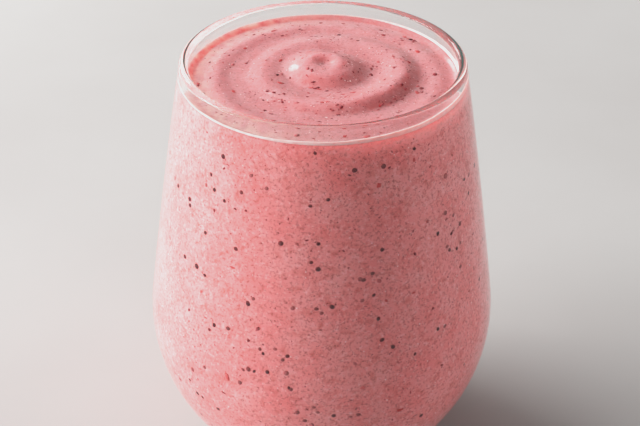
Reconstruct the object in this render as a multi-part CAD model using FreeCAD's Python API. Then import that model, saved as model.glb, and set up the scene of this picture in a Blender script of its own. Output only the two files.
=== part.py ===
"""A berry smoothie in its stemless glass: a tumbler with a tapering wall over a round belly, filled
almost to the lip with a thick blended drink whose top keeps the swirl of the pour.

Millimetres, +Z up. The origin is the centre of the foot, on the surface that the glass stands on, and
the drinker's side faces -Y. Two solids: the glass, and the drink that fills it face to face up to its
swirled top.
"""

import FreeCAD
import Part

import math
import os

# --- The glass, outside ---------------------------------------------------------------------------
glass_height = 105.0
lip_outer_radius = 34.3
lip_wall = 2.2
belly_outer_radius = 43.35      # the widest part
belly_height = 36.5             # of the widest part, over the table
belly_outline_radius = 45.0     # how tightly the bowl's outline curves
wall_outline_radius = 1650.0    # the wall above the belly is very nearly straight
foot_corner_radius = 2.5

# --- The glass, inside and underneath -------------------------------------------------------------
belly_wall = 2.0
inner_outline_tighter = 2.0     # the inside curves this much more tightly, so the wall thickens downwards
inner_belly_rise = 0.5          # the inside is widest this far above the outside's widest part
floor_thickness = 6.0
floor_corner_radius = 22.0
foot_ring_width = 7.0           # the flat ring that the glass stands on
push_up = 1.0                   # the underside's hollow, at the centre

# --- The drink ------------------------------------------------------------------------------------
fill_depth = 4.8                # from the top of the lip down to the drink's lowest level
fill_tilt = 0.018               # the thick drink stands a little higher at the back, mm per mm
mound_place = (0.6, 3.7)        # the drop of drink that fell last, in the middle
mound_radius = 11.1
mound_height = 1.75
mound_crown = 0.46              # the part of that radius that is flat on top
mound_wander = 0.5              # how far its edge strays from a circle
eye_place = (0.4, 4.2)          # the small hollow that the mound's top curls round
eye_radius = 2.5
eye_depth = 0.35
curl_radius = 3.7               # of the curl's crest, round the eye
curl_half_width = 2.7
curl_height = 0.5
curl_gap_bearing = -115         # degrees, 0 at +X: the curl is open to the front left
curl_gap_half_angle = 120
ridge_place = (2.4, 2.0)        # the ridge round the mound
ridge_radius = 16.8
ridge_wander = -0.4
ridge_inner_width = 7.2         # its inner slope is wide and its outer slope is steep
ridge_outer_width = 4.8
ridge_height = 0.65
swell_height = 1.15             # it stands this much higher at the front right
swell_bearing = -42
swell_half_angle = 110
outer_ring_height = 0.4         # the last low wave before the glass
outer_ring_half_width = 3.8
outer_ring_radius = 26.6
outer_ring_offset = 1.0         # that ring's centre lies this far to the right
climb_height = 0.7              # how far the drink clings up the glass
climb_width = 2.0
swirl_grid = 81                 # points along each side of the top's surface


def point(pair):
    """A point of an outline, given as its distance from the axis and its height."""
    return FreeCAD.Vector(pair[0], 0, pair[1])


def towards(start, end, distance):
    """The pair that lies a distance from start in the direction of end."""
    span = math.hypot(end[0] - start[0], end[1] - start[1])
    return tuple(s + (e - s) * distance / span for s, e in zip(start, end))


def circles_meet(centre_a, radius_a, centre_b, radius_b):
    """The meeting point of two circles that lies nearer to the axis, or across it."""
    gap = math.hypot(centre_b[0] - centre_a[0], centre_b[1] - centre_a[1])
    along = (radius_a**2 - radius_b**2 + gap**2) / (2 * gap)
    aside = math.sqrt(radius_a**2 - along**2)
    unit = ((centre_b[0] - centre_a[0]) / gap, (centre_b[1] - centre_a[1]) / gap)
    foot = (centre_a[0] + along * unit[0], centre_a[1] + along * unit[1])
    found = [(foot[0] + side * aside * unit[1], foot[1] - side * aside * unit[0]) for side in (1, -1)]
    return min(found)


def arc(start, end, centre, radius):
    """The shorter arc from start to end on a circle, as an edge."""
    middle = ((start[0] + end[0]) / 2, (start[1] + end[1]) / 2)
    return Part.Arc(point(start), point(towards(centre, middle, radius)), point(end)).toShape()


def line(start, end):
    return Part.LineSegment(point(start), point(end)).toShape()


def revolved(edges):
    """The solid that a closed outline sweeps about the glass's axis."""
    face = Part.Face(Part.Wire(Part.__sortEdges__(edges)))
    return face.revolve(FreeCAD.Vector(0, 0, 0), FreeCAD.Vector(0, 0, 1), 360)


# --- Where the outlines' circles touch each other -------------------------------------------------
lip_radius = lip_wall / 2
lip_centre = (lip_outer_radius - lip_radius, glass_height - lip_radius)
outer_belly_centre = (belly_outer_radius - belly_outline_radius, belly_height)
inner_belly_outline_radius = belly_outline_radius - inner_outline_tighter
inner_belly_centre = (
    belly_outer_radius - belly_wall - inner_belly_outline_radius,
    belly_height + inner_belly_rise,
)

# The wall's two faces are wide arcs that run smoothly from the belly into the round lip.
outer_wall_centre = circles_meet(
    outer_belly_centre, wall_outline_radius - belly_outline_radius,
    lip_centre, wall_outline_radius - lip_radius,
)
inner_wall_centre = circles_meet(
    inner_belly_centre, wall_outline_radius - inner_belly_outline_radius,
    lip_centre, wall_outline_radius + lip_radius,
)
outer_wall_foot = towards(outer_wall_centre, outer_belly_centre, wall_outline_radius)
outer_wall_top = towards(outer_wall_centre, lip_centre, wall_outline_radius)
inner_wall_foot = towards(inner_wall_centre, inner_belly_centre, wall_outline_radius)
inner_wall_top = towards(inner_wall_centre, lip_centre, wall_outline_radius)

# Inside, a wide corner runs from the belly to the flat floor.
floor_corner_height = floor_thickness + floor_corner_radius
corner_reach = inner_belly_outline_radius - floor_corner_radius
corner_drop = floor_corner_height - inner_belly_centre[1]
floor_corner_centre = (
    inner_belly_centre[0] + math.sqrt(corner_reach**2 - corner_drop**2),
    floor_corner_height,
)
floor_corner_top = towards(inner_belly_centre, floor_corner_centre, inner_belly_outline_radius)
floor_edge = (floor_corner_centre[0], floor_thickness)

# Underneath, a small corner runs from the belly to the flat foot ring.
foot_corner_reach = belly_outline_radius - foot_corner_radius
foot_corner_drop = foot_corner_radius - outer_belly_centre[1]
foot_corner_centre = (
    outer_belly_centre[0] + math.sqrt(foot_corner_reach**2 - foot_corner_drop**2),
    foot_corner_radius,
)
foot_corner_top = towards(outer_belly_centre, foot_corner_centre, belly_outline_radius)
foot_ring_outer = foot_corner_centre[0]
foot_ring_inner = foot_ring_outer - foot_ring_width


def inside_edges():
    """The inside face's outline, from the middle of the floor up to the lip. Glass and drink share it."""
    return [
        line((0, floor_thickness), floor_edge),
        arc(floor_edge, floor_corner_top, floor_corner_centre, floor_corner_radius),
        arc(floor_corner_top, inner_wall_foot, inner_belly_centre, inner_belly_outline_radius),
        arc(inner_wall_foot, inner_wall_top, inner_wall_centre, wall_outline_radius),
    ]


def underside_edge():
    """The shallow hollow under the glass, from the axis to the foot ring."""
    rise_radius = (foot_ring_inner**2 + push_up**2) / (2 * push_up)
    return arc((0, push_up), (foot_ring_inner, 0), (0, push_up - rise_radius), rise_radius)


def make_glass():
    lip_top = (lip_centre[0], glass_height)
    return revolved([
        *inside_edges(),
        arc(inner_wall_top, lip_top, lip_centre, lip_radius),
        arc(lip_top, outer_wall_top, lip_centre, lip_radius),
        arc(outer_wall_top, outer_wall_foot, outer_wall_centre, wall_outline_radius),
        arc(outer_wall_foot, foot_corner_top, outer_belly_centre, belly_outline_radius),
        arc(foot_corner_top, (foot_ring_outer, 0), foot_corner_centre, foot_corner_radius),
        line((foot_ring_outer, 0), (foot_ring_inner, 0)),
        underside_edge(),
        line((0, push_up), (0, floor_thickness)),
    ])


# --- The swirled top ------------------------------------------------------------------------------


def eased(share):
    """0 to 1 with level ends, held there outside that range."""
    share = min(max(share, 0.0), 1.0)
    return share * share * (3 - 2 * share)


def wave(distance, half_width):
    """A round ridge, 1 on its crest and 0 from its half width on."""
    return 0.5 + 0.5 * math.cos(math.pi * min(abs(distance) / half_width, 1.0))


def seen_from(place, x, y):
    """Distance and bearing, in degrees, of a point from a place."""
    return math.hypot(x - place[0], y - place[1]), math.degrees(math.atan2(y - place[1], x - place[0]))


def turned_by(bearing, start):
    """The angle between two bearings, from 0 to 180 degrees."""
    return abs((bearing - start + 180) % 360 - 180)


def mound_relief(x, y):
    """The mound, with the curl round its eye."""
    distance, bearing = seen_from(mound_place, x, y)
    share = distance / (mound_radius - mound_wander * math.sin(2 * math.radians(bearing)))
    relief = mound_height * (1 - eased((share - mound_crown) / (1 - mound_crown)))
    distance, bearing = seen_from(eye_place, x, y)
    closed = 1 - wave(turned_by(bearing, curl_gap_bearing), curl_gap_half_angle)
    relief += curl_height * closed * wave(distance - curl_radius, curl_half_width)
    return relief - eye_depth * wave(distance, eye_radius)


def ridge_relief(x, y):
    """The ridge round the mound, with its swell at the front right."""
    distance, bearing = seen_from(ridge_place, x, y)
    past = distance - ridge_radius + ridge_wander * math.sin(2 * math.radians(bearing))
    width = ridge_inner_width if past < 0 else ridge_outer_width
    swell = swell_height * wave(turned_by(bearing, swell_bearing), swell_half_angle)
    return (ridge_height + swell) * wave(past, width)


def top_height(x, y):
    """The height of the drink's top over the table at a place in the glass."""
    radius, bearing = seen_from((0, 0), x, y)
    height = glass_height - fill_depth + fill_tilt * y + mound_relief(x, y) + ridge_relief(x, y)
    ring = outer_ring_radius + outer_ring_offset * math.cos(math.radians(bearing))
    height += outer_ring_height * wave(radius - ring, outer_ring_half_width)
    wall = inner_wall_top[0] + (inner_wall_foot[0] - inner_wall_top[0]) * (
        (inner_wall_top[1] - height) / (inner_wall_top[1] - inner_wall_foot[1])
    )
    return height + climb_height * eased((radius - wall + climb_width) / climb_width)


def swirl_surface():
    """The top as one smooth surface, wider than the glass."""
    reach = belly_outer_radius
    steps = [reach * (2 * i / (swirl_grid - 1) - 1) for i in range(swirl_grid)]
    surface = Part.BSplineSurface()
    surface.interpolate([[FreeCAD.Vector(x, y, top_height(x, y)) for y in steps] for x in steps])
    return surface.toShape()


def make_drink():
    """What the inside of the glass holds below the swirled top."""
    inside = revolved([
        *inside_edges(),
        line(inner_wall_top, (0, inner_wall_top[1])),
        line((0, inner_wall_top[1]), (0, floor_thickness)),
    ])
    below_top = swirl_surface().extrude(FreeCAD.Vector(0, 0, -glass_height))
    return inside.common(below_top)


os.makedirs("parts", exist_ok=True)
for node, shape in {"glass": make_glass(), "smoothie": make_drink()}.items():
    solids = shape.Solids
    millilitres = sum(solid.Volume for solid in solids) / 1000
    box = shape.BoundBox
    print(
        f"{node}: {len(solids)} solid, valid {shape.isValid()}, {millilitres:.1f} ml, "
        f"{box.XLength:.1f} x {box.YLength:.1f} x {box.ZLength:.1f} mm, z {box.ZMin:.2f} to {box.ZMax:.2f}"
    )
    solids[0].exportStep(f"parts/{node}.step")
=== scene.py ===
# %% [markdown]
# # A berry smoothie in its stemless glass
#
# This notebook builds the looks of one part: a round-bellied glass filled almost to its lip with a thick
# pink drink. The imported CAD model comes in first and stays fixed, because it says where everything is and
# how large. Everything after that is finish: the drink's surface, what floats in it, the clear wall, the
# floor and the light. Each step says what the real thing is, which ways of making it there are, and why one
# was chosen.

# %% Load the fixed frame
import math

import bmesh
import bpy
import numpy as np
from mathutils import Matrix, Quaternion, Vector, noise


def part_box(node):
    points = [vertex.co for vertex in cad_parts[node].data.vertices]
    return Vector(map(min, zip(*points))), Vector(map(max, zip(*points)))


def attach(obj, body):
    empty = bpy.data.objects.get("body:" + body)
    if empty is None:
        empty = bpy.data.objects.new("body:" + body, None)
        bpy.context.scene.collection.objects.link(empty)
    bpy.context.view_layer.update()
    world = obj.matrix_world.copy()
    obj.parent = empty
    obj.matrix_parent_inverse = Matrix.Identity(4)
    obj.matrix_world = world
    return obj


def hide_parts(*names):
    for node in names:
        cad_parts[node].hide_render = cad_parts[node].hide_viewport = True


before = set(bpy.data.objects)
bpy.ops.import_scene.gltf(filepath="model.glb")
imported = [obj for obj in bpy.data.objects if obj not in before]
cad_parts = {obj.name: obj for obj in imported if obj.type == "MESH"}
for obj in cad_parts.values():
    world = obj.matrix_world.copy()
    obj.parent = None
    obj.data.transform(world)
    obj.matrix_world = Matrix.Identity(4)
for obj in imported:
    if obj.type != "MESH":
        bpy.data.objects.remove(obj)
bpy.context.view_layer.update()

# %% [markdown]
# ## The outline of the glass
#
# Blender works in metres here and a glass is small, so one name for a millimetre keeps the numbers
# readable. Lip and foot come from the frame. A glass like this is blown against a mould and its outline is
# a few arcs, each running smoothly into the next: a round lip, a nearly straight wall, a belly, a small
# corner at the foot. Two arcs that touch have their centres apart by the sum or the difference of their
# radii, which is all that the geometry below needs. The CAD mesh holds the same outline in flat facets. It
# is good enough to measure, but a clear wall shows every facet as a crooked reflection, so the arcs are
# kept for a smoother wall later.

# %% Millimetres, and the glass's measures
MM = 0.001
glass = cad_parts["glass"]
lip_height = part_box("glass")[1][2]
floor_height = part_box("smoothie")[0][2]

LIP_OUTSIDE = 34.3
LIP_WALL = 2.2
BELLY = {"radius": 43.35, "height": 36.5, "curve": 45.0, "wall": 2.0}
INSIDE = {"curve": 43.0, "rise": 0.5, "floor_corner": 22.0}
WALL_CURVE = 1650.0
FOOT = {"corner": 2.5, "ring": 7.0, "push_up": 1.0}
print("lip", round(lip_height / MM, 2), "and inner floor", round(floor_height / MM, 2), "mm above the table")

# %% Three helpers for arcs that touch


def circles_meet(centre_a, radius_a, centre_b, radius_b):
    """The meeting point of two circles that lies nearer to the axis, or across it."""
    gap = math.dist(centre_a, centre_b)
    along = (radius_a**2 - radius_b**2 + gap**2) / (2 * gap)
    aside = math.sqrt(radius_a**2 - along**2)
    x, y = ((b - a) / gap for a, b in zip(centre_a, centre_b))
    foot = (centre_a[0] + along * x, centre_a[1] + along * y)
    return min((foot[0] + side * aside * y, foot[1] - side * aside * x) for side in (1, -1))


def towards(start, end, distance):
    """The pair that lies a distance from start in the direction of end."""
    span = math.dist(start, end)
    return tuple(s + (e - s) * distance / span for s, e in zip(start, end))


def arc_points(centre, radius, start, end, count):
    """Points on a circle from start to end, the short way round, without the last one."""
    first = math.atan2(start[1] - centre[1], start[0] - centre[0])
    last = math.atan2(end[1] - centre[1], end[0] - centre[0])
    sweep = (last - first + math.pi) % math.tau - math.pi
    turns = [first + sweep * step / count for step in range(count)]
    return [(centre[0] + radius * math.cos(t), centre[1] + radius * math.sin(t)) for t in turns]


print("two circles of radius 5 that stand 6 apart meet at", circles_meet((0, 0), 5, (6, 0), 5))

# %% Where the arcs touch
lip = LIP_WALL / 2
lip_top = lip_height / MM
lip_centre = (LIP_OUTSIDE - lip, lip_top - lip)
floor_level = floor_height / MM
outer_belly = (BELLY["radius"] - BELLY["curve"], BELLY["height"])
inner_belly = (BELLY["radius"] - BELLY["wall"] - INSIDE["curve"], BELLY["height"] + INSIDE["rise"])
outer_wall = circles_meet(outer_belly, WALL_CURVE - BELLY["curve"], lip_centre, WALL_CURVE - lip)
inner_wall = circles_meet(inner_belly, WALL_CURVE - INSIDE["curve"], lip_centre, WALL_CURVE + lip)
corner_drop = floor_level + INSIDE["floor_corner"] - inner_belly[1]
corner_reach = math.sqrt((INSIDE["curve"] - INSIDE["floor_corner"])**2 - corner_drop**2)
floor_corner = (inner_belly[0] + corner_reach, floor_level + INSIDE["floor_corner"])
foot_drop = FOOT["corner"] - outer_belly[1]
foot_reach = math.sqrt((BELLY["curve"] - FOOT["corner"])**2 - foot_drop**2)
foot_corner = (outer_belly[0] + foot_reach, FOOT["corner"])
ring_inside = foot_corner[0] - FOOT["ring"]
hollow_curve = (ring_inside**2 + FOOT["push_up"]**2) / (2 * FOOT["push_up"])
print(f"foot ring {ring_inside:.2f} to {foot_corner[0]:.2f} mm from the axis")

# %% The inside and the outside as points
STEPS = {"floor": 8, "floor_corner": 18, "inner_belly": 30, "wall": 30,
         "half_lip": 12, "outer_belly": 36, "foot_corner": 10, "ring": 4, "hollow": 8}


def inside_outline():
    """The inside face's outline, from the middle of the floor up to the lip."""
    corner_top = towards(inner_belly, floor_corner, INSIDE["curve"])
    wall_foot = towards(inner_wall, inner_belly, WALL_CURVE)
    wall_top = towards(inner_wall, lip_centre, WALL_CURVE)
    floor_edge = (floor_corner[0], floor_level)
    return [
        *[(floor_corner[0] * step / STEPS["floor"], floor_level) for step in range(1, STEPS["floor"])],
        *arc_points(floor_corner, INSIDE["floor_corner"], floor_edge, corner_top, STEPS["floor_corner"]),
        *arc_points(inner_belly, INSIDE["curve"], corner_top, wall_foot, STEPS["inner_belly"]),
        *arc_points(inner_wall, WALL_CURVE, wall_foot, wall_top, STEPS["wall"]),
        wall_top,
    ]


def outside_outline():
    """From the lip's inner edge over the lip, down the outside and in under the foot."""
    wall_foot = towards(outer_wall, outer_belly, WALL_CURVE)
    wall_top = towards(outer_wall, lip_centre, WALL_CURVE)
    corner_top = towards(outer_belly, foot_corner, BELLY["curve"])
    crown = (lip_centre[0], lip_top)
    hollow = (0.0, FOOT["push_up"] - hollow_curve)
    lip_inside = towards(inner_wall, lip_centre, WALL_CURVE)
    return [
        *arc_points(lip_centre, lip, lip_inside, crown, STEPS["half_lip"])[1:],
        *arc_points(lip_centre, lip, crown, wall_top, STEPS["half_lip"]),
        *arc_points(outer_wall, WALL_CURVE, wall_top, wall_foot, STEPS["wall"]),
        *arc_points(outer_belly, BELLY["curve"], wall_foot, corner_top, STEPS["outer_belly"]),
        *arc_points(foot_corner, FOOT["corner"], corner_top, (foot_corner[0], 0.0), STEPS["foot_corner"]),
        *[(foot_corner[0] - FOOT["ring"] * step / STEPS["ring"], 0.0) for step in range(STEPS["ring"])],
        *arc_points(hollow, hollow_curve, (ring_inside, 0.0), (0.0, FOOT["push_up"]), STEPS["hollow"]),
    ]


inside = np.array(inside_outline())
side = inside[STEPS["floor"] - 1:]


def wall_radius(height):
    """The glass's inside radius at a height, both in metres."""
    return np.interp(height / MM, side[:, 1], side[:, 0]) * MM


def farthest_from_outline():
    """The farthest that an inside point of the CAD mesh lies from the outline, in metres."""
    places = np.empty(len(glass.data.vertices) * 3)
    glass.data.vertices.foreach_get("co", places)
    places = places.reshape(-1, 3)
    radii = np.hypot(places[:, 0], places[:, 1])
    middle_wall = wall_radius(places[:, 2]) + BELLY["wall"] / 2 * MM
    above_belly = places[:, 2] > BELLY["height"] * MM
    below_lip = places[:, 2] < lip_centre[1] * MM
    inner = above_belly & below_lip & (radii < middle_wall)
    return np.abs(radii[inner] - wall_radius(places[inner, 2])).max()


print(len(inside), "points inside, within", f"{farthest_from_outline() / MM:.3f} mm of the CAD wall")

# %% [markdown]
# ## The camera
#
# A drink is usually seen from a little above, as by someone about to pick it up. The camera stands in front
# of the glass, on its -Y side, with a long lens, so the glass keeps its proportions and doesn't bulge. A
# camera could be aimed with a Track To constraint, but its direction is easier to read as an angle: it
# looks down by so many degrees, and leans by a hair, as a camera in the hand does.

# %% Place the camera
camera_data = bpy.data.cameras.new("camera")
camera_data.lens = 100
camera_data.sensor_width = 36
camera = bpy.data.objects.new("camera", camera_data)
bpy.context.collection.objects.link(camera)
bpy.context.scene.camera = camera

camera_aside = -0.6 * MM
camera_back = 380.1 * MM
camera_over_lip = 187.6 * MM
looking_down = math.radians(31.22)
leaning = math.radians(0.28)

camera.location = (camera_aside, -camera_back, lip_height + camera_over_lip)
camera.rotation_mode = "QUATERNION"
camera.rotation_quaternion = (
    Quaternion((1, 0, 0), math.pi / 2 - looking_down) @ Quaternion((0, 0, 1), leaning)
)
print("camera stands", round(camera.location.length / MM), "mm from the foot")

# %% [markdown]
# ## Joining, placing and dressing
#
# Every piece below is a mesh made from arrays. One helper turns arrays into an object that rides on the
# part's one body. The others are for materials: one starts a material, one makes a shader node and wires it
# up in a line, and the rest give plain names to what is wanted most, such as a blend of two colours or a
# noise. With them a material reads like a recipe: what goes in, and what comes out.

# %% A helper for pieces


def make_piece(name, corners, faces, materials):
    """A smooth mesh object in the frame, riding on the part, from corner places in metres and faces."""
    mesh = bpy.data.meshes.new(name)
    mesh.from_pydata(corners, [], faces)
    mesh.validate()
    for material in materials:
        mesh.materials.append(material)
    mesh.shade_smooth()
    piece = bpy.data.objects.new(name, mesh)
    bpy.context.collection.objects.link(piece)
    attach(piece, "root")
    print(f"{name}: {len(mesh.vertices)} corners, {len(mesh.polygons)} faces")
    return piece


print("pieces so far:", len(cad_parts), "from the CAD model")

# %% Helpers for materials


def start_material(name):
    """A material with its Principled shader, and the place on the object that its textures use."""
    material = bpy.data.materials.new(name)
    material.use_nodes = True
    shader = material.node_tree.nodes["Principled BSDF"]
    place = material.node_tree.nodes.new("ShaderNodeTexCoord").outputs["Object"]
    return material, shader, place


def add_node(material, kind, inputs, output=0, **settings):
    """A shader node with its settings made and its inputs set or wired. Gives back one output."""
    node = material.node_tree.nodes.new(kind)
    for name, value in settings.items():
        setattr(node, name, value)
    for key, value in inputs.items():
        if isinstance(value, bpy.types.NodeSocket):
            material.node_tree.links.new(value, node.inputs[key])
        else:
            node.inputs[key].default_value = value
    return node.outputs[output]


def blend_colours(material, share, first, second):
    """A colour that goes from first to second as share goes from 0 to 1."""
    return add_node(material, "ShaderNodeMix", {0: share, 6: first, 7: second}, 2, data_type="RGBA")


def spread(material, value, low, high, most=1.0):
    """0 where value is at most low, most where it is at least high, and a straight ramp between."""
    ramp = {"Value": value, "From Min": low, "From Max": high, "To Max": most}
    return add_node(material, "ShaderNodeMapRange", ramp)


def mottled(material, place, scale, detail, **more):
    """A soft noise: scale is how many of its clouds lie in a metre, detail how finely they break up."""
    inputs = {"Vector": place, "Scale": scale, "Detail": detail, **more}
    return add_node(material, "ShaderNodeTexNoise", inputs)


def multiply(material, first, second):
    """One value times another."""
    return add_node(material, "ShaderNodeMath", {0: first, 1: second}, operation="MULTIPLY")


def larger(material, first, second):
    """The larger of two values."""
    return add_node(material, "ShaderNodeMath", {0: first, 1: second}, operation="MAXIMUM")


def axes_of(material, vector):
    """A vector's X, Y and Z, by name."""
    parts = material.node_tree.nodes.new("ShaderNodeSeparateXYZ")
    material.node_tree.links.new(vector, parts.inputs["Vector"])
    return parts.outputs


print("helpers ready for nodes, blends, ramps and noises")

# %% [markdown]
# ## The top of the drink
#
# A smoothie is thick enough to keep the shape of its pour. The last of it fell in the middle and left a low
# mound with a small eye. A ridge runs round the mound, highest at the front right, and beyond it lies one
# more low wave before the glass. Sculpting would give the shape too, but nobody could change it later. A
# height function can be read and tuned: each wave is one line, with its place, its width and its height in
# millimetres. The same values shape the CAD solid, so the two agree.

# %% The swirl's measures, in millimetres
MEAN_LEVEL = -4.8            # measured from the lip
TILT = 0.018                 # the drink stands a little higher at the back
MOUND = {"x": 0.6, "y": 3.7, "radius": 11.1, "height": 1.75, "crown": 0.46, "wander": 0.5}
EYE = {"x": 0.4, "y": 4.2, "radius": 2.5, "depth": 0.35}
CURL = {"radius": 3.7, "half_width": 2.7, "height": 0.5,
        "gap": math.radians(-115), "gap_width": math.radians(120)}
RIDGE = {"x": 2.4, "y": 2.0, "radius": 16.8, "inner_width": 7.2, "outer_width": 4.8,
         "height": 0.65, "wander": -0.4}
SWELL = {"bearing": math.radians(-42), "width": math.radians(110), "height": 1.15}
OUTER_RING = {"radius": 26.6, "offset": 1.0, "half_width": 3.8, "height": 0.4}
CLIMB = {"width": 2.0, "height": 0.7}
print("mound", MOUND["height"], "mm high, ridge up to", round(RIDGE["height"] + SWELL["height"], 2), "mm")

# %% Four small shapes of a wave


def eased(share):
    """0 to 1 with level ends, held there outside that range."""
    share = np.clip(share, 0.0, 1.0)
    return share * share * (3 - 2 * share)


def wave(distance, half_width):
    """A round ridge, 1 on its crest and 0 from its half width on."""
    return 0.5 + 0.5 * np.cos(np.pi * np.minimum(np.abs(distance) / half_width, 1.0))


def seen_from(x, y, measures):
    """Distance and bearing of a place from the middle of one of the swirl's shapes."""
    aside = x - measures["x"]
    behind = y - measures["y"]
    return np.hypot(aside, behind), np.arctan2(behind, aside)


def turned_by(bearing, start):
    """The angle between two bearings, from 0 to half a turn."""
    return np.abs((bearing - start + np.pi) % (2 * np.pi) - np.pi)


print("a wave of half width 2 at 0, 1 and 2 mm:", wave(np.array([0.0, 1.0, 2.0]), 2.0).round(2))

# %% The swirl's height at a place


def mound_relief(x, y):
    """The last of the pour: a mound whose top curls round a small eye, open to the front left."""
    distance, bearing = seen_from(x, y, MOUND)
    share = distance / (MOUND["radius"] - MOUND["wander"] * np.sin(2 * bearing))
    mound = MOUND["height"] * (1 - eased((share - MOUND["crown"]) / (1 - MOUND["crown"])))
    distance, bearing = seen_from(x, y, EYE)
    closed = 1 - wave(turned_by(bearing, CURL["gap"]), CURL["gap_width"])
    curl = CURL["height"] * closed * wave(distance - CURL["radius"], CURL["half_width"])
    return mound + curl - EYE["depth"] * wave(distance, EYE["radius"])


def ridge_relief(x, y):
    """The ridge round the mound: wide on its inner side, steep outside, and highest at the front right."""
    distance, bearing = seen_from(x, y, RIDGE)
    past = distance - RIDGE["radius"] + RIDGE["wander"] * np.sin(2 * bearing)
    width = np.where(past < 0, RIDGE["inner_width"], RIDGE["outer_width"])
    swell = SWELL["height"] * wave(turned_by(bearing, SWELL["bearing"]), SWELL["width"])
    return (RIDGE["height"] + swell) * wave(past, width)


def swirl_height(x, y):
    """The drink's level at a place, all in millimetres, measured from the lip."""
    radius = np.hypot(x, y)
    level = MEAN_LEVEL + TILT * y + mound_relief(x, y) + ridge_relief(x, y)
    ring = OUTER_RING["radius"] + OUTER_RING["offset"] * np.cos(np.arctan2(y, x))
    level = level + OUTER_RING["height"] * wave(radius - ring, OUTER_RING["half_width"])
    wall = wall_radius(lip_height + level * MM) / MM
    return level + CLIMB["height"] * eased((radius - wall + CLIMB["width"]) / CLIMB["width"])


print("middle of the mound:", round(float(swirl_height(MOUND["x"], MOUND["y"])), 2), "mm from the lip")

# %% [markdown]
# ## Pulp and folds
#
# Close by the top isn't smooth. Pulp makes it uneven by less than a tenth of a millimetre, and where the
# pour dragged its skin along, a few fine folds lie side by side. Bump in the material could fake them, but
# a fold is seen by its edge too, so they are moved points: three soft noises and a short row of waves.

# %% Relief too fine for the CAD solid


def grain(x, y, size, seed):
    """Soft random bumps of about a size in millimetres, from -1 to 1."""
    return noise.noise(Vector((x / size, y / size, seed)))


def pulp_grain(x, y):
    """The pulp's own unevenness, in millimetres."""
    return 0.08 * grain(x, y, 3.6, 1.0) + 0.012 * grain(x, y, 1.2, 2.0) + 0.007 * grain(x, y, 0.55, 3.0)


CREASES = {"count": 4, "apart": 0.62, "half_width": 0.3, "height": 0.2}
MOUND_CREASES = {"around": MOUND, "radius": 6.6, "outwards": 3.8,
                 "from": math.radians(44), "spread": math.radians(30)}
RIDGE_CREASES = {"around": RIDGE, "radius": 16.1, "outwards": 14.0,
                 "from": math.radians(22), "spread": math.radians(11)}


def crease_relief(x, y, creases):
    """Fine parallel folds. They run outwards as they turn clockwise."""
    distance, bearing = seen_from(x, y, creases["around"])
    first = creases["radius"] + creases["outwards"] * (creases["from"] - bearing)
    there = wave(bearing - creases["from"] + creases["spread"] / 3, creases["spread"])
    crests = [first + fold * CREASES["apart"] for fold in range(CREASES["count"])]
    folds = [wave(distance - crest, CREASES["half_width"]) for crest in crests]
    return CREASES["height"] * there * sum(folds)


def top_relief(x, y):
    """All that is too fine for the CAD solid: pulp and folds, in millimetres."""
    pulp = np.array([pulp_grain(a, b) for a, b in zip(x, y)])
    return pulp + crease_relief(x, y, MOUND_CREASES) + crease_relief(x, y, RIDGE_CREASES)


row = np.linspace(-25.0, 25.0, 200)
print("relief across the top, mm: up to", round(float(np.abs(top_relief(row, row * 0)).max()), 2))

# %% [markdown]
# ## The body of the drink
#
# The drink fills the glass, so its side has the glass's inside outline. It is made as rings of points: out
# over the top, down the wall, and in over the floor. A drink drawn exactly as wide as the glass would leave
# a thin film of air in the render, with a mirror-like glint, so the rings reach a quarter of a millimetre
# into the wall, and light goes straight from glass to drink as it does in a wet glass.

# %% Rings of points for the drink
AROUND = 400
TOP_RINGS = 168
SIDE_RINGS = 40
FLOOR_RINGS = 10
REACH = 0.25                 # mm into the wall
CALM = 2.0                   # mm before the glass in which the fine relief fades
CROWDED = 0.22               # how much closer the side's rings lie at the edge and the floor

angles = np.arange(AROUND) * math.tau / AROUND
directions = np.stack([np.cos(angles), np.sin(angles)], axis=1)


def ring_at(radius, height):
    """One ring of points, from radii and heights in metres (numbers or one for each direction)."""
    ring = np.empty((AROUND, 3))
    ring[:, :2] = directions * np.broadcast_to(radius, AROUND)[:, None]
    ring[:, 2] = height
    return ring


def top_rings():
    """Rings from near the middle out to the wall, over the swirl."""
    edge = np.full(AROUND, wall_radius(lip_height + MEAN_LEVEL * MM) / MM)
    for _ in range(3):
        level = swirl_height(directions[:, 0] * edge, directions[:, 1] * edge)
        edge = wall_radius(lip_height + level * MM) / MM
    rings = []
    for step in range(1, TOP_RINGS + 1):
        radius = (edge + REACH) * step / TOP_RINGS
        x = directions[:, 0] * radius
        y = directions[:, 1] * radius
        calm = eased((edge - radius) / CALM)
        level = swirl_height(x, y) + calm * top_relief(x, y)
        rings.append(ring_at(radius * MM, lip_height + level * MM))
    return rings


def side_rings(top_edge):
    """Rings from just under the top's edge down to the floor, inside the wall by the reach."""
    rings = []
    for step in range(1, SIDE_RINGS + 1):
        share = step / SIDE_RINGS
        share = share - CROWDED * math.sin(math.tau * share) / math.tau
        height = top_edge[:, 2] + (floor_height - top_edge[:, 2]) * share
        rings.append(ring_at(wall_radius(height) + REACH * MM, height))
    return rings


upper = top_rings()
sides = side_rings(upper[-1])
floor_radius = float(np.hypot(*sides[-1][0, :2]))
under = [ring_at(floor_radius * (1 - step / FLOOR_RINGS), floor_height - REACH * MM)
         for step in range(1, FLOOR_RINGS)]
rings = upper + sides + under
edge_depth = (lip_height - upper[-1][:, 2].mean()) / MM
print(len(rings), "rings; the top's edge lies", round(edge_depth, 2), "mm below the lip")

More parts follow.
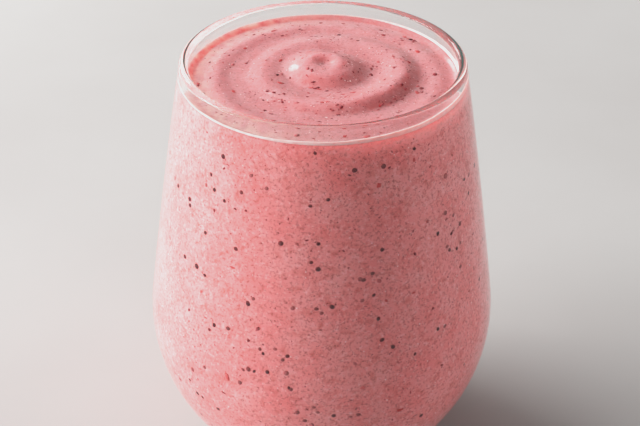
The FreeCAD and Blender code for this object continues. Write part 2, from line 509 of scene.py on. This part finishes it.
# %% [markdown]
# ## What a smoothie's colour is made of
#
# Berries and milk blend to a dusty pink. Close by it is never one colour: there are clouds with more or
# less milk, patches of crushed skin, paler threads of foam, and thousands of specks too small to see as
# shapes. So the colour is built from four noises, each finer than the one before. A painted picture could
# show the same, but a noise has no seam and stays sharp close by.
#
# Light also soaks a few millimetres in and comes out redder, which is why the shaded side glows instead of
# turning grey. Subsurface scattering does that, with red going furthest.

# %% The pinks
MILKY_PINK = (0.78, 0.295, 0.300, 1)
DEEP_PINK = (0.75, 0.164, 0.167, 1)
JUICE = (0.34, 0.070, 0.068, 1)
FOAM = (0.88, 0.44, 0.445, 1)
BERRY_RED = (0.56, 0.105, 0.10, 1)
DULL_MAUVE = (0.56, 0.29, 0.315, 1)
# painted glow: the coral of light shining through the thin lit edge
PAINTED_GLOW_CORAL = (0.88, 0.50, 0.45, 1)
# painted: a paler pink that mutes the red glow of light under the drink's edge
GLOW_MUTING_PINK = (0.84, 0.55, 0.545, 1)
print("juice", JUICE[:3], "to foam", FOAM[:3])

# %% Clouds, patches, threads and specks
CLOUDS, PATCHES = 130.0, 420.0          # noise steps to the metre
THREADS, SPECKS = 900.0, 1500.0


def pulp_colour(material, place, dulled):
    """The pink of the blended berries, from its clouds down to its specks, dulled by air."""
    cloud = mottled(material, place, CLOUDS, 3.0)
    colour = blend_colours(material, spread(material, cloud, 0.14, 0.86), DEEP_PINK, MILKY_PINK)
    patch = mottled(material, place, PATCHES, 4.0, Roughness=0.65, Distortion=0.6)
    colour = blend_colours(material, spread(material, patch, 0.51, 0.78), colour, BERRY_RED)
    thread = mottled(material, place, THREADS, 4.0, Roughness=0.7)
    colour = blend_colours(material, spread(material, thread, 0.53, 0.83), colour, FOAM)
    speck = mottled(material, place, SPECKS, 3.0, Roughness=0.65)
    colour = blend_colours(material, spread(material, speck, 0.51, 0.75), colour, JUICE)
    return blend_colours(material, dulled, colour, DULL_MAUVE)


def soak_light(shader, depth, paler_share):
    """Light soaks in to a depth in millimetres, green and blue only a share as deep as red."""
    shader.inputs["Subsurface Weight"].default_value = 1.0
    shader.inputs["Subsurface Radius"].default_value = (1.0, paler_share, paler_share)
    shader.inputs["Subsurface Scale"].default_value = depth * MM


print("clouds of about", round(1000 / CLOUDS), "mm, specks of under a millimetre")

# %% [markdown]
# ## Against the air, and against the glass
#
# On top the drink is moist, so a thin clear coat mirrors the window. The air has dulled its colour. Slopes
# show redder pulp because foam slides off them, and that red is also painted shade on the shaded flanks. The
# thin edge on the lit side gets a painted coral glow, standing in for light shining through it. Against the
# glass it has no shine of its own, light soaks in deeper, and a paler band painted just under the edge on
# the right tones down the red glow of light soaking out there.
# One material with a switch could do both, but two on one mesh are easier to follow.

# %% The drink where it meets the air


def painted_edge_glow(material, place):
    """Painted glow of light through the thin drink: 1 near the glass on the lit left side. Mottled."""
    parts = axes_of(material, place)
    flat = add_node(material, "ShaderNodeCombineXYZ", {"X": parts["X"], "Y": parts["Y"]})
    from_axis = add_node(material, "ShaderNodeVectorMath", {0: flat}, "Value", operation="LENGTH")
    near_wall = spread(material, from_axis, 26.0 * MM, 31.6 * MM)
    on_left = spread(material, parts["X"], 8.0 * MM, -16.0 * MM)
    here = multiply(material, near_wall, on_left)
    return multiply(material, here, spread(material, mottled(material, place, 420.0, 4.0), 0.30, 0.62))


def slope_red_and_shade(material, place):
    """More on slopes, where foam doesn't stay and red pulp shows; also painted shade on shaded flanks.
    Mottled.
    """
    facing = material.node_tree.nodes.new("ShaderNodeNewGeometry").outputs["Normal"]
    steep = spread(material, axes_of(material, facing)["Z"], 0.995, 0.93, most=0.55)
    mottle = mottled(material, place, 500.0, 4.0, Roughness=0.7)
    return multiply(material, steep, spread(material, mottle, 0.25, 0.65))


def make_open_drink():
    """Moist and finely bumpy."""
    material, shader, place = start_material("smoothie_open")
    pulp = pulp_colour(material, place, 0.32)
    # redder slopes: red pulp where foam slides off, and painted shade on the shaded flanks
    pulp = blend_colours(material, slope_red_and_shade(material, place), pulp, BERRY_RED)
    # a painted coral glow on the thin lit edge, for light shining through it
    colour = blend_colours(material, painted_edge_glow(material, place), pulp, PAINTED_GLOW_CORAL)
    material.node_tree.links.new(colour, shader.inputs["Base Color"])
    soak_light(shader, depth=5.0, paler_share=0.5)
    shader.inputs["Roughness"].default_value = 0.42
    shader.inputs["Coat Weight"].default_value = 0.6
    shader.inputs["Coat Roughness"].default_value = 0.04
    grit = mottled(material, place, 1100.0, 3.0)
    bump = add_node(material, "ShaderNodeBump", {"Strength": 0.25, "Distance": 0.1 * MM, "Height": grit})
    material.node_tree.links.new(bump, shader.inputs["Normal"])
    return material


open_drink = make_open_drink()
print(open_drink.name, "has", len(open_drink.node_tree.nodes), "nodes")

# %% The drink where it meets the glass


def glow_muting_paleness(material, place):
    """Painted paleness under the drink's edge on the right, a hint behind, to mute the red glow of light
    there.
    """
    parts = axes_of(material, place)
    edge_height = lip_height + MEAN_LEVEL * MM
    near_edge = spread(material, parts["Z"], edge_height - 3.5 * MM, edge_height - 1.0 * MM)
    behind = spread(material, parts["Y"], 6.0 * MM, 16.0 * MM, most=0.1)
    on_right = spread(material, parts["X"], -6.0 * MM, 14.0 * MM, most=0.4)
    return multiply(material, near_edge, larger(material, behind, on_right))


def make_pressed_drink():
    """No air between drink and glass, so no shine of its own."""
    material, shader, place = start_material("smoothie_pressed")
    # painted paleness that mutes the red glow of light just under the edge
    foam = glow_muting_paleness(material, place)
    colour = blend_colours(material, foam, pulp_colour(material, place, 0.0), GLOW_MUTING_PINK)
    material.node_tree.links.new(colour, shader.inputs["Base Color"])
    soak_light(shader, depth=9.0, paler_share=0.22)
    shader.inputs["Roughness"].default_value = 1.0
    shader.inputs["Specular IOR Level"].default_value = 0.0
    return material


pressed_drink = make_pressed_drink()
print(pressed_drink.name, "has", len(pressed_drink.node_tree.nodes), "nodes")

# %% Join the rings into the drink


def join_rings(rings, top_height, bottom_height):
    """Corners and faces of a closed body that runs through the rings from a point on top to one below."""
    corners = np.vstack([[(0, 0, top_height)], *rings, [(0, 0, bottom_height)]])
    here = np.arange(AROUND)
    beside = (here + 1) % AROUND
    faces = [(0, 1 + a, 1 + b) for a, b in zip(here, beside)]
    for row in range(len(rings) - 1):
        above = 1 + row * AROUND
        below = above + AROUND
        faces += [(above + a, below + a, below + b, above + b) for a, b in zip(here, beside)]
    last = 1 + (len(rings) - 1) * AROUND
    end = len(corners) - 1
    faces += [(last + b, last + a, end) for a, b in zip(here, beside)]
    return corners, faces


axis_level = float(swirl_height(0.0, 0.0)) + pulp_grain(0.0, 0.0)
middle = lip_height + axis_level * MM
corners, faces = join_rings(rings, middle, floor_height - REACH * MM)
drink = make_piece("smoothie_body", corners.tolist(), faces, [open_drink, pressed_drink])
first_pressed = AROUND * TOP_RINGS
for face in drink.data.polygons[first_pressed:]:
    face.material_index = 1
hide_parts("smoothie")

# %% [markdown]
# ## What floats in the drink
#
# A blender never gets all of a berry. Hard seeds of a millimetre stay whole and near black, the skins end
# as dark red shards and dust, some pulp stays as soft red bits, and air is left as tiny pale bubbles. A
# particle system would scatter them quickly, but its copies aren't real mesh and are lost when the model
# leaves Blender. So one unit ball is copied by arrays: each copy is stretched to its own size, dented at
# random, turned flat onto the drink and moved to its place, and every kind ends as one joined mesh.

# %% One mesh from many small shapes
rng = np.random.default_rng(11)


def unit_ball(subdivisions):
    """Corners and triangles of a ball with radius 1."""
    ball = bmesh.new()
    bmesh.ops.create_icosphere(ball, subdivisions=subdivisions, radius=1.0)
    corners = np.array([corner.co[:] for corner in ball.verts])
    triangles = np.array([[corner.index for corner in face.verts] for face in ball.faces])
    ball.free()
    return corners, triangles


def unit(vectors):
    """Vectors brought to length 1."""
    return vectors / np.linalg.norm(vectors, axis=-1, keepdims=True)


def join_bits(name, spots, sizes, dents, subdivisions, material):
    """Copies of a ball at spots (place, outward, along), of sizes (length, width, thickness) in mm."""
    place, outward, along = spots
    across = np.cross(outward, along)
    corners, triangles = unit_ball(subdivisions)
    dented = corners[None] * (1 + dents * rng.uniform(-1, 1, (len(place), len(corners), 1)))
    scaled = dented * sizes[:, None, :] / 2 * MM
    turned = (scaled[..., 0:1] * along[:, None] + scaled[..., 1:2] * across[:, None]
              + scaled[..., 2:3] * outward[:, None])
    points = (turned + place[:, None]).reshape(-1, 3)
    faces = (triangles[None] + np.arange(len(place))[:, None, None] * len(corners)).reshape(-1, 3)
    piece = make_piece(name, points.tolist(), faces.tolist(), [material])
    rim = piece.data.attributes.new("rim", "FLOAT", "POINT")
    rim.data.foreach_set("value", np.tile(np.hypot(corners[:, 0], corners[:, 1]), len(place)))
    shade = piece.data.attributes.new("shade", "FLOAT", "POINT")
    shade.data.foreach_set("value", np.repeat(rng.uniform(0, 1, len(place)), len(corners)))
    return piece


print("a ball of 1 subdivision has", len(unit_ball(1)[1]), "triangles, one of 2 has", len(unit_ball(2)[1]))

# %% [markdown]
# ## Where they lie
#
# On the side everything lies against the glass, so a spot is a bearing and a height. On top it lies in the
# swirl, and long bits follow the way the drink turned. Nothing is spread evenly in a real drink: a soft
# noise decides where many gather, and every random spot is kept or dropped by it. All spots come from one
# seeded source, so the same drink comes out each time.

# %% Where many gather, and spots on the side
SPARE = 4                    # this many times more spots are thrown than kept
SIDE_RADIUS = 38             # mm, the side's middling radius
SIDE_FREE = {"floor": 6, "edge": 1.6}


def gathered(x, y, z, patch, seed):
    """0 to 1: how well liked a place is, in patches of a size in millimetres."""
    values = [noise.noise(Vector((a / patch, b / patch, c / patch + seed))) for a, b, c in zip(x, y, z)]
    return np.clip(0.5 + 1.1 * np.array(values), 0.04, 1.0)


def side_spots(count, sink, patch=14.0, seed=0.0):
    """Spots against the glass, sunk into the drink by some millimetres, turned at random."""
    thrown = count * SPARE
    bearing = rng.uniform(0, math.tau, thrown)
    lowest = floor_height + SIDE_FREE["floor"] * MM
    highest = lip_height + (MEAN_LEVEL - SIDE_FREE["edge"]) * MM
    height = rng.uniform(lowest, highest, thrown)
    x, y = np.cos(bearing) * SIDE_RADIUS, np.sin(bearing) * SIDE_RADIUS
    kept = np.flatnonzero(rng.uniform(0, 1, thrown) < gathered(x, y, height / MM, patch, seed))[:count]
    bearing, height = bearing[kept], height[kept]
    radius = wall_radius(height) + (REACH - sink) * MM
    outward = np.stack([np.cos(bearing), np.sin(bearing), np.zeros(len(kept))], axis=1)
    sideways = np.stack([-np.sin(bearing), np.cos(bearing), np.zeros(len(kept))], axis=1)
    turn = rng.uniform(0, math.pi, len(kept))[:, None]
    along = sideways * np.cos(turn) + np.array([0, 0, 1]) * np.sin(turn)
    place = outward * radius[:, None]
    place[:, 2] = height
    return place, outward, along


print("how well liked three places are:", gathered((0, 10, 20), (0, 0, 0), (0, 0, 0), 8.0, 0.0).round(2))

# %% Spots on the top
TOP_RADIUS = 30.3            # mm, as far out as bits lie on top
SLOPE_STEP = 0.2             # mm, to measure the swirl's slope


def top_spots(count, sink, patch=8.0, seed=0.0, stray=0.5):
    """Spots in the swirl, lying flat in it and along its turn, give or take some radians."""
    thrown = count * SPARE
    radius = np.sqrt(rng.uniform(0, 1, thrown)) * TOP_RADIUS
    bearing = rng.uniform(0, math.tau, thrown)
    x, y = radius * np.cos(bearing), radius * np.sin(bearing)
    back_left = eased((y - x + 4) / 20)
    liked = gathered(x, y, np.zeros(len(x)), patch, seed) * (1 - 0.5 * back_left)
    kept = np.flatnonzero(rng.uniform(0, 1, thrown) < liked)[:count]
    x, y, bearing = x[kept], y[kept], bearing[kept]
    level = swirl_height(x, y)
    slope_x = (swirl_height(x + SLOPE_STEP, y) - level) / SLOPE_STEP
    slope_y = (swirl_height(x, y + SLOPE_STEP) - level) / SLOPE_STEP
    outward = unit(np.stack([-slope_x, -slope_y, np.ones(len(x))], axis=1))
    turn = bearing + math.pi / 2 + rng.normal(0, stray, len(x))
    along = np.stack([np.cos(turn), np.sin(turn), np.zeros(len(x))], axis=1)
    along = unit(along - outward * np.sum(along * outward, axis=1, keepdims=True))
    height = lip_height + (level + top_relief(x, y)) * MM
    place = np.stack([x * MM, y * MM, height], axis=1) - outward * sink * MM
    return place, outward, along


def together(first, second):
    """Two sets of spots as one."""
    return tuple(np.vstack(pair) for pair in zip(first, second))


def sizes_of(count, length, slimness, thickness):
    """Lengths between two limits, most of them small, with widths and thicknesses that follow."""
    long = length[0] + (length[1] - length[0]) * rng.beta(1.4, 2.6, count)
    wide = long * rng.uniform(*slimness, count)
    return np.stack([long, wide, wide * thickness], axis=1)


print("bits may lie up to", TOP_RADIUS, "mm from the axis on top")

# %% [markdown]
# ## Finishes of seed, skin and bubble
#
# A seed looks black in its middle, but at its rim the pink drink shows through and over it. That is not a
# trick of the view, it is really paler there, so the mesh carries a number called rim, 0 on top of each bit
# and 1 at its edge, and the colour runs along it. A second number, shade, makes some seeds deeper in the
# drink and thus paler.

# %% One recipe for all bits


def make_bit_finish(name, middle, edge, haze, roughness):
    """A colour from the middle to the edge of a bit, with as much pink haze over some as haze says."""
    material, shader, place = start_material(name)
    rim = add_node(material, "ShaderNodeAttribute", {}, "Fac", attribute_name="rim")
    shade = add_node(material, "ShaderNodeAttribute", {}, "Fac", attribute_name="shade")
    uneven = multiply(material, rim, mottled(material, place, 2500.0, 2.0))
    colour = blend_colours(material, spread(material, uneven, 0.30, 0.62), middle, edge)
    veil = spread(material, shade, 0.3, 1.0, most=haze)
    colour = blend_colours(material, veil, colour, DEEP_PINK)
    material.node_tree.links.new(colour, shader.inputs["Base Color"])
    shader.inputs["Roughness"].default_value = roughness
    shader.inputs["Specular IOR Level"].default_value = 0.3
    return material


seed_finish = make_bit_finish("berry_seed", (0.052, 0.006, 0.009, 1), (0.25, 0.038, 0.040, 1), 0.4, 0.6)
skin_finish = make_bit_finish("berry_skin", (0.17, 0.017, 0.024, 1), (0.36, 0.055, 0.055, 1), 0.6, 0.5)
dust_finish = make_bit_finish("skin_dust", (0.17, 0.028, 0.030, 1), (0.36, 0.07, 0.07, 1), 0.8, 0.7)
pulp_finish = make_bit_finish("red_pulp", (0.46, 0.035, 0.035, 1), (0.60, 0.10, 0.095, 1), 0.6, 0.35)
bubble_finish = make_bit_finish("foam_bubble", (0.88, 0.58, 0.57, 1), (0.80, 0.44, 0.44, 1), 0.6, 0.3)
finishes = (seed_finish, skin_finish, dust_finish, pulp_finish, bubble_finish)
print("finishes:", ", ".join(finish.name for finish in finishes))

# %% Seeds
seeds = together(side_spots(230, sink=0.10, patch=24.0, seed=4.0), top_spots(7, sink=0.12))
seed_sizes = sizes_of(len(seeds[0]), length=(1.05, 1.65), slimness=(0.72, 1.0), thickness=0.5)
join_bits("berry_seeds", seeds, seed_sizes, dents=0.06, subdivisions=2, material=seed_finish)

# %% Shards of skin
skins = together(side_spots(420, sink=0.03, patch=12.0, seed=9.0),
                 top_spots(300, sink=0.03, patch=7.0, seed=2.0, stray=0.35))
skin_sizes = sizes_of(len(skins[0]), length=(0.45, 1.7), slimness=(0.28, 0.75), thickness=0.35)
join_bits("skin_shards", skins, skin_sizes, dents=0.3, subdivisions=1, material=skin_finish)

# %% Skin dust
dust = together(side_spots(4600, sink=0.02, patch=9.0, seed=1.0),
                top_spots(1000, sink=0.02, patch=6.0, seed=5.0))
dust_sizes = sizes_of(len(dust[0]), length=(0.16, 0.62), slimness=(0.35, 0.9), thickness=0.5)
join_bits("skin_dust", dust, dust_sizes, dents=0.25, subdivisions=1, material=dust_finish)

# %% Soft red pulp
pulp = together(side_spots(60, sink=0.02, patch=12.0, seed=3.0),
                top_spots(64, sink=0.05, patch=6.0, seed=8.0, stray=0.4))
pulp_sizes = sizes_of(len(pulp[0]), length=(0.6, 2.4), slimness=(0.3, 0.7), thickness=0.25)
join_bits("red_pulp", pulp, pulp_sizes, dents=0.28, subdivisions=2, material=pulp_finish)

# %% Bubbles
bubbles = together(side_spots(500, sink=0.03, patch=7.0, seed=6.0),
                   top_spots(500, sink=0.06, patch=5.0, seed=7.0))
bubble_sizes = sizes_of(len(bubbles[0]), length=(0.22, 0.55), slimness=(0.9, 1.0), thickness=0.8)
join_bits("foam_bubbles", bubbles, bubble_sizes, dents=0.0, subdivisions=1, material=bubble_finish)

# %% [markdown]
# ## The film at the glass
#
# When the drink settles it leaves a thin pale film of foam on the glass. It stands highest at the front
# right, by nearly a millimetre, and is a mere line at the back. From the front it is the white line along
# the top of the drink. A pale stripe in the drink's material would be simpler, but a film has a thickness
# that catches light. So it is a wedge: as thick as a fold of foam at the drink, and nothing where it ends
# on the glass. One closed ring with an uneven upper edge is enough.

# %% A wedge of foam all round
FILM = {"height": 0.05, "more": 0.85, "most": math.radians(-30), "spread": math.radians(125),
        "uneven": 0.12}
FILM_THICK = 0.35
FILM_BELOW = 0.25
FILM_STEPS = 6
FILM_WHITE = (0.86, 0.58, 0.575, 1)
FILM_PINK = (0.80, 0.45, 0.44, 1)


def film_unevenness(x, y):
    """Slow and quick ups and downs of the film's edge in a direction from the axis."""
    return noise.noise(Vector((4 * x, 4 * y, 5.0))) + 0.5 * noise.noise(Vector((17 * x, 17 * y, 9.0)))


def film_ring(edge):
    """Corners and faces of the wedge, from the drink's edge (the top's last ring of points)."""
    level = edge[:, 2]
    swell = wave(turned_by(angles, FILM["most"]), FILM["spread"])
    uneven = np.array([film_unevenness(x, y) for x, y in directions])
    top = level + (FILM["height"] + FILM["more"] * swell + FILM["uneven"] * uneven) * MM
    bottom = level - FILM_BELOW * MM
    rows = []
    for step in range(FILM_STEPS + 1):
        share = step / FILM_STEPS
        height = bottom + (top - bottom) * share
        depth = (FILM_THICK * (1 - share)**1.5 + 0.03) * MM
        rows.append(ring_at(wall_radius(height) - depth, height))
    for step in range(FILM_STEPS, -1, -1):
        height = bottom + (top - bottom) * step / FILM_STEPS
        rows.append(ring_at(wall_radius(height) + REACH * MM * 1.1, height))
    corners = np.vstack(rows)
    here = np.arange(AROUND)
    beside = (here + 1) % AROUND
    faces = []
    for row in range(len(rows)):
        near = row * AROUND
        far = (row + 1) % len(rows) * AROUND
        faces += [(near + a, near + b, far + b, far + a) for a, b in zip(here, beside)]
    return corners, faces


def make_film_finish():
    """Pale foam with the drink's pink in it."""
    material, shader, place = start_material("foam_film")
    cloud = mottled(material, place, 700.0, 4.0)
    colour = blend_colours(material, spread(material, cloud, 0.35, 0.7), FILM_WHITE, FILM_PINK)
    material.node_tree.links.new(colour, shader.inputs["Base Color"])
    shader.inputs["Subsurface Weight"].default_value = 1.0
    shader.inputs["Subsurface Radius"].default_value = (1.0, 0.6, 0.55)
    shader.inputs["Subsurface Scale"].default_value = 0.8 * MM
    shader.inputs["Roughness"].default_value = 0.5
    return material


corners, faces = film_ring(upper[-1])
film = make_piece("foam_film", corners.tolist(), faces, [make_film_finish()])

# %% [markdown]
# ## The clear glass
#
# Clear glass has no colour of its own: what shows is what it bends and what it mirrors, so its wall has to
# have the true thickness everywhere and a very smooth surface. The outline from the start is spun about the
# axis with 256 steps, a ring of points for each point of the outline. A Screw modifier would do the same,
# but rings in an array are plain to read, and their number is known.
#
# Two things need care. A path tracer finds it hard to bring lamp light through two curved walls, and the
# drink would come out dark and grainy. So for light on its way to the drink the glass counts as an open
# window, and also for light that has been thrown to and fro in the wall, which would end black. And the red
# drink shines into the lip from below. Real glass is faintly green and swallows part of that red, so the
# wall has a weak absorption.

# %% Spin the outline
SPIN_STEPS = 256


def spin(outline, steps):
    """Corners and faces of the body that an outline sweeps. Its first and last points lie on the axis."""
    turns = np.arange(steps) * math.tau / steps
    outline = np.array(outline) * MM
    body = outline[1:-1]
    corners = [(r * math.cos(t), r * math.sin(t), z) for r, z in body for t in turns]
    first_pole = len(corners)
    corners += [(0, 0, outline[0][1]), (0, 0, outline[-1][1])]
    faces = []
    for a in range(steps):
        b = (a + 1) % steps
        faces.append((first_pole, a, b))
        for row in range(len(body) - 1):
            near = row * steps
            far = near + steps
            faces.append((near + a, far + a, far + b, near + b))
        faces.append((first_pole - steps + b, first_pole - steps + a, first_pole + 1))
    return corners, faces


glass_outline = [(0.0, floor_level), *inside, *outside_outline(), (0.0, FOOT["push_up"])]
print(len(glass_outline), "points round the wall's section, spun in", SPIN_STEPS, "steps")

# %% Clear and faintly wavy
WALL_ABSORBS = {"Color": (0.45, 0.60, 0.57, 1), "Density": 36.0}
MOST_BOUNCES = 2.5           # light that was mirrored more often than this goes straight on


def make_clear_glass():
    """Clear glass with the faint waviness of a blown wall."""
    material, shader, place = start_material("clear_glass_blown")
    shader.inputs["Base Color"].default_value = (0.985, 0.99, 0.99, 1)
    shader.inputs["Roughness"].default_value = 0.0
    shader.inputs["IOR"].default_value = 1.5
    shader.inputs["Transmission Weight"].default_value = 1.0
    ripple = mottled(material, place, 25.0, 1.0)
    bump = add_node(material, "ShaderNodeBump", {"Strength": 0.1, "Distance": 0.05 * MM, "Height": ripple})
    material.node_tree.links.new(bump, shader.inputs["Normal"])
    path = material.node_tree.nodes.new("ShaderNodeLightPath")
    to_drink = larger(material, path.outputs["Is Shadow Ray"], path.outputs["Is Diffuse Ray"])
    trapped = add_node(material, "ShaderNodeMath", {0: path.outputs["Glossy Depth"], 1: MOST_BOUNCES},
                       operation="GREATER_THAN")
    straight_on = larger(material, to_drink, trapped)
    window = add_node(material, "ShaderNodeBsdfTransparent", {"Color": (0.97, 0.975, 0.975, 1)})
    ways = {0: straight_on, 1: shader.outputs["BSDF"], 2: window}
    surface = add_node(material, "ShaderNodeMixShader", ways)
    output = material.node_tree.nodes["Material Output"]
    material.node_tree.links.new(surface, output.inputs["Surface"])
    tint = add_node(material, "ShaderNodeVolumeAbsorption", WALL_ABSORBS)
    material.node_tree.links.new(tint, output.inputs["Volume"])
    return material


corners, faces = spin(glass_outline, SPIN_STEPS)
tumbler = make_piece("tumbler", corners, faces, [make_clear_glass()])
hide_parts("glass")

# %% [markdown]
# ## The table
#
# The part is shown on a plain pale table, dull like plaster. It is far larger than the glass, so that its
# edges stay out of the way, and it lies a hair under the foot, because two faces in one plane would
# flicker.

# %% A pale table
FLOOR_GREY = (0.428, 0.416, 0.407, 1)
FLOOR_SHADE = (0.400, 0.384, 0.375, 1)
TABLE_HALF = 4.0             # metres
TABLE_DROP = 0.05            # mm


def make_table_finish():
    """Pale, dull and very slightly cloudy, like plaster."""
    material, shader, place = start_material("pale_table")
    cloud = mottled(material, place, 9.0, 5.0)
    colour = blend_colours(material, spread(material, cloud, 0.35, 0.65), FLOOR_SHADE, FLOOR_GREY)
    material.node_tree.links.new(colour, shader.inputs["Base Color"])
    shader.inputs["Roughness"].default_value = 0.8
    shader.inputs["Specular IOR Level"].default_value = 0.2
    return material


floor_mesh = bpy.data.meshes.new("table")
table_corners = [(x * TABLE_HALF, y * TABLE_HALF, 0) for x, y in ((-1, -1), (1, -1), (1, 1), (-1, 1))]
floor_mesh.from_pydata(table_corners, [], [(0, 1, 2, 3)])
floor_mesh.materials.append(make_table_finish())
floor = bpy.data.objects.new("table", floor_mesh)
floor.location.z = -TABLE_DROP * MM
bpy.context.collection.objects.link(floor)
print("table", 2 * TABLE_HALF, "metres wide")

# %% [markdown]
# ## Light from a window and pale walls
#
# The light is that of a large window behind and to the left. A pale wall on the left throws much of it
# back, one on the right a little. All three are big soft area lights, and the glass mustn't mirror them as
# bright squares, so they are hidden from mirrored and bent light. A small window behind leaves the
# highlight on the mound, and a narrow light that shines on the glass alone draws the line on its lip.
#
# The room's own light is the world colour. Through the bends of the glass the pale room looks brighter than
# it is as a light, so its strength has two values. A sky texture would be richer, but it would tint a plain
# studio.

# %% Soft lights
LIGHT_DISTANCE = 1.6         # metres from the glass


def add_window(name, bearing, elevation, width, height, power):
    """A rectangular soft light that faces the glass. Bearing 0 is straight behind it, 90 is to its left."""
    lamp = bpy.data.lights.new(name, "AREA")
    lamp.shape = "RECTANGLE"
    lamp.size = width
    lamp.size_y = height
    lamp.energy = power
    light = bpy.data.objects.new(name, lamp)
    bearing = math.radians(bearing)
    elevation = math.radians(elevation)
    level = math.cos(elevation)
    direction = Vector((-math.sin(bearing) * level, math.cos(bearing) * level, math.sin(elevation)))
    target = Vector((0, 0, lip_height / 2))
    light.location = target + direction * LIGHT_DISTANCE
    light.rotation_mode = "QUATERNION"
    light.rotation_quaternion = (-direction).to_track_quat("-Z", "Y")
    light.visible_camera = False
    bpy.context.collection.objects.link(light)
    return light


side_window = add_window("side_window", bearing=62, elevation=27, width=1.2, height=1.0, power=56)
left_wall = add_window("left_wall", bearing=102, elevation=12, width=1.0, height=0.8, power=57)
right_wall = add_window("right_wall", bearing=-92, elevation=4, width=1.0, height=0.8, power=21)
add_window("back_window", bearing=30, elevation=25, width=0.46, height=0.5, power=5)
for soft_light in (side_window, left_wall, right_wall):
    soft_light.visible_glossy = False
    soft_light.visible_transmission = False

lip_shine = add_window("lip_shine", bearing=90, elevation=24, width=1.0, height=0.35, power=8)
lip_shine.visible_diffuse = False
lip_shine.visible_transmission = False
only_glass = bpy.data.collections.new("only_glass")
only_glass.objects.link(tumbler)
lip_shine.light_linking.receiver_collection = only_glass
print("lights:", ", ".join(sorted(light.name for light in bpy.data.lights)))

# %% The room
ROOM_COLOUR = (1.0, 0.985, 0.97, 1)
ROOM_AS_LIGHT = 0.175
ROOM_AS_SEEN = 0.4           # through the bends of the glass

world = bpy.data.worlds.new("room")
bpy.context.scene.world = world
world.use_nodes = True
background = world.node_tree.nodes["Background"]
background.inputs["Color"].default_value = ROOM_COLOUR
ray = world.node_tree.nodes.new("ShaderNodeLightPath")
strength = world.node_tree.nodes.new("ShaderNodeMapRange")
strength.inputs["To Min"].default_value = ROOM_AS_LIGHT
strength.inputs["To Max"].default_value = ROOM_AS_SEEN
world.node_tree.links.new(ray.outputs["Is Transmission Ray"], strength.inputs["Value"])
world.node_tree.links.new(strength.outputs["Result"], background.inputs["Strength"])
print("room strength", ROOM_AS_LIGHT, "as a light and", ROOM_AS_SEEN, "through the glass")

# %% [markdown]
# ## A soft shoulder for bright tones
#
# An eye never sees bright red as harshly as the sum says: it presses bright values together. Blender's view
# curve does the same. It leaves everything up to the middle alone and bends over above it, for each colour
# by itself, so the lit side of the drink stays pink instead of turning a flat coral. Weaker lights would
# avoid that too, but leave the scene dull.

# %% The view and its curve
SHOULDER = ((0.45, 0.45), (0.75, 0.69), (1.0, 0.82), (1.4, 0.93))
BRIGHTEST = (2.2, 1.0)

view = bpy.context.scene.view_settings
view.view_transform = "Standard"
view.use_curve_mapping = True
shoulder = view.curve_mapping
shoulder.use_clip = False
curve = shoulder.curves[3]
curve.points[1].location = BRIGHTEST
for given, shown in SHOULDER:
    curve.points.new(given, shown)
shoulder.update()
print("view curve:", [tuple(round(v, 2) for v in point.location) for point in curve.points])
